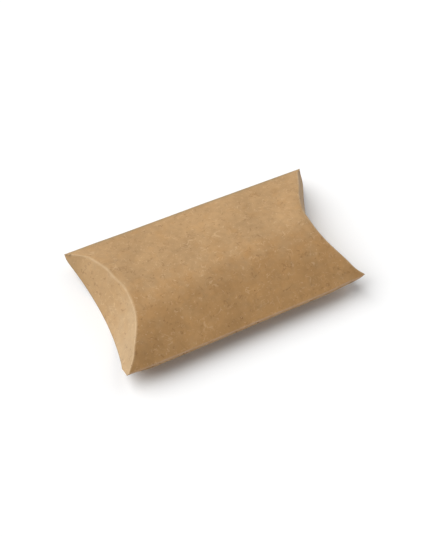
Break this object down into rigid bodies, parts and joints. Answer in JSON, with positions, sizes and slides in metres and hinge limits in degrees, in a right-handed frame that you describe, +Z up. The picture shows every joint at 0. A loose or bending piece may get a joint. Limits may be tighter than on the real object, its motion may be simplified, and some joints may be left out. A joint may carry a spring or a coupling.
{
  "type": "pillow box",
  "caption": "Folding pillow box of brown kraft board with two bowed panels, curved end creases and inner and outer flaps that tuck in and swing open at both ends.",
  "frame": {"origin": "on the table under the middle of the box, at the middle of the flat strip of the lower panel", "axes": "+X along the box's length, towards its right end; +Y across it, from the glued seam at the front to the folded edge at the back; +Z up"},
  "size_m": [0.124, 0.0669, 0.0191],
  "materials": {
    "kraft_outside": "uncoated brown kraft board with short light fibres and small dark flecks, matt",
    "kraft_crease": "the same board where the scoring rule pressed and stretched it, a little lighter",
    "kraft_tucked": "the same uncoated board on the flaps folded inside",
    "glue": "dried water-based carton glue, thin and slightly yellow"
  },
  "bodies": {
    "sleeve": {"top_panel": "kraft_outside", "bottom_panel": "kraft_outside", "side_fold": "kraft_outside", "seam_fold": "kraft_outside", "glue_flap": "kraft_tucked", "glue_line": "glue", "left_top_crease": "kraft_crease", "right_top_crease": "kraft_crease", "left_bottom_crease": "kraft_crease", "right_bottom_crease": "kraft_crease"},
    "left_outer": {"left_outer_flap": "kraft_outside"},
    "right_outer": {"right_outer_flap": "kraft_outside"},
    "left_inner": {"left_inner_flap": "kraft_tucked"},
    "right_inner": {"right_inner_flap": "kraft_tucked"}
  },
  "joints": [
    {"name": "left_outer_hinge", "type": "hinge", "parent": "sleeve", "child": "left_outer", "pos_m": [-0.0469, 0, 0.01908], "axis": [0, 1, 0], "range_deg": [0, 100]},
    {"name": "left_inner_hinge", "type": "hinge", "parent": "sleeve", "child": "left_inner", "pos_m": [-0.0469, 0, 0], "axis": [0, -1, 0], "range_deg": [0, 100]},
    {"name": "right_outer_hinge", "type": "hinge", "parent": "sleeve", "child": "right_outer", "pos_m": [0.0469, 0, 0.01908], "axis": [0, -1, 0], "range_deg": [0, 100]},
    {"name": "right_inner_hinge", "type": "hinge", "parent": "sleeve", "child": "right_inner", "pos_m": [0.0469, 0, 0], "axis": [0, 1, 0], "range_deg": [0, 100]}
  ],
  "couplings": [
    {"joint": "left_inner_hinge", "follows": "left_outer_hinge", "ratio": 1},
    {"joint": "right_inner_hinge", "follows": "right_outer_hinge", "ratio": 1}
  ]
}
